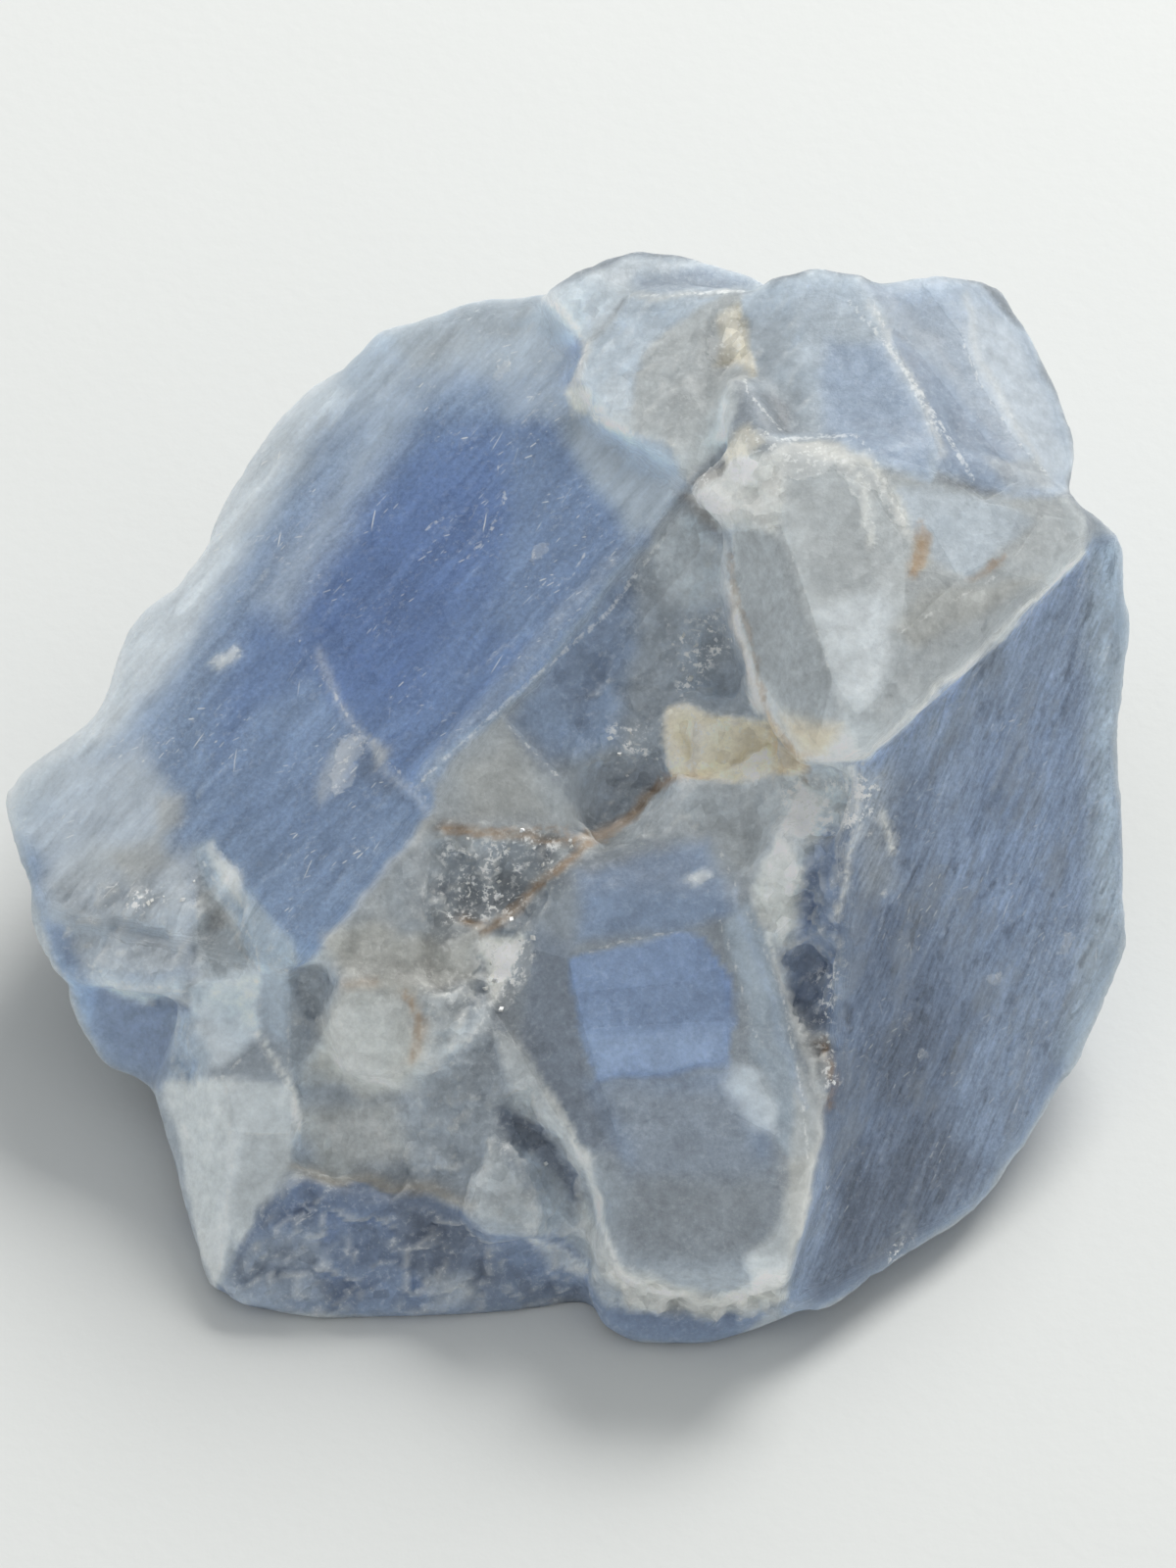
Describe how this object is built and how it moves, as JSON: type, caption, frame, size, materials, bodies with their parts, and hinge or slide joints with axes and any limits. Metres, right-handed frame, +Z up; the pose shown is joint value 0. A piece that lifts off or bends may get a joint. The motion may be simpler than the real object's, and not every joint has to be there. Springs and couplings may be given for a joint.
{
  "type": "blue calcite specimen",
  "caption": "Small rough lump of blue calcite: broad cleavage faces, a milky crest, a grey hollow, and a flat face to rest on.",
  "frame": {"origin": "on the resting face, under the middle of the stone's box", "axes": "+X to the right along the longest side, seen from the front; +Y to the back; +Z up from the resting face"},
  "size_m": [0.046, 0.0418, 0.0241],
  "materials": {
    "calcite": "glassy to frosted cleavage faces, milky along the thin edges, slightly see-through"
  },
  "bodies": {
    "root": {"calcite": "calcite"}
  },
  "joints": []
}
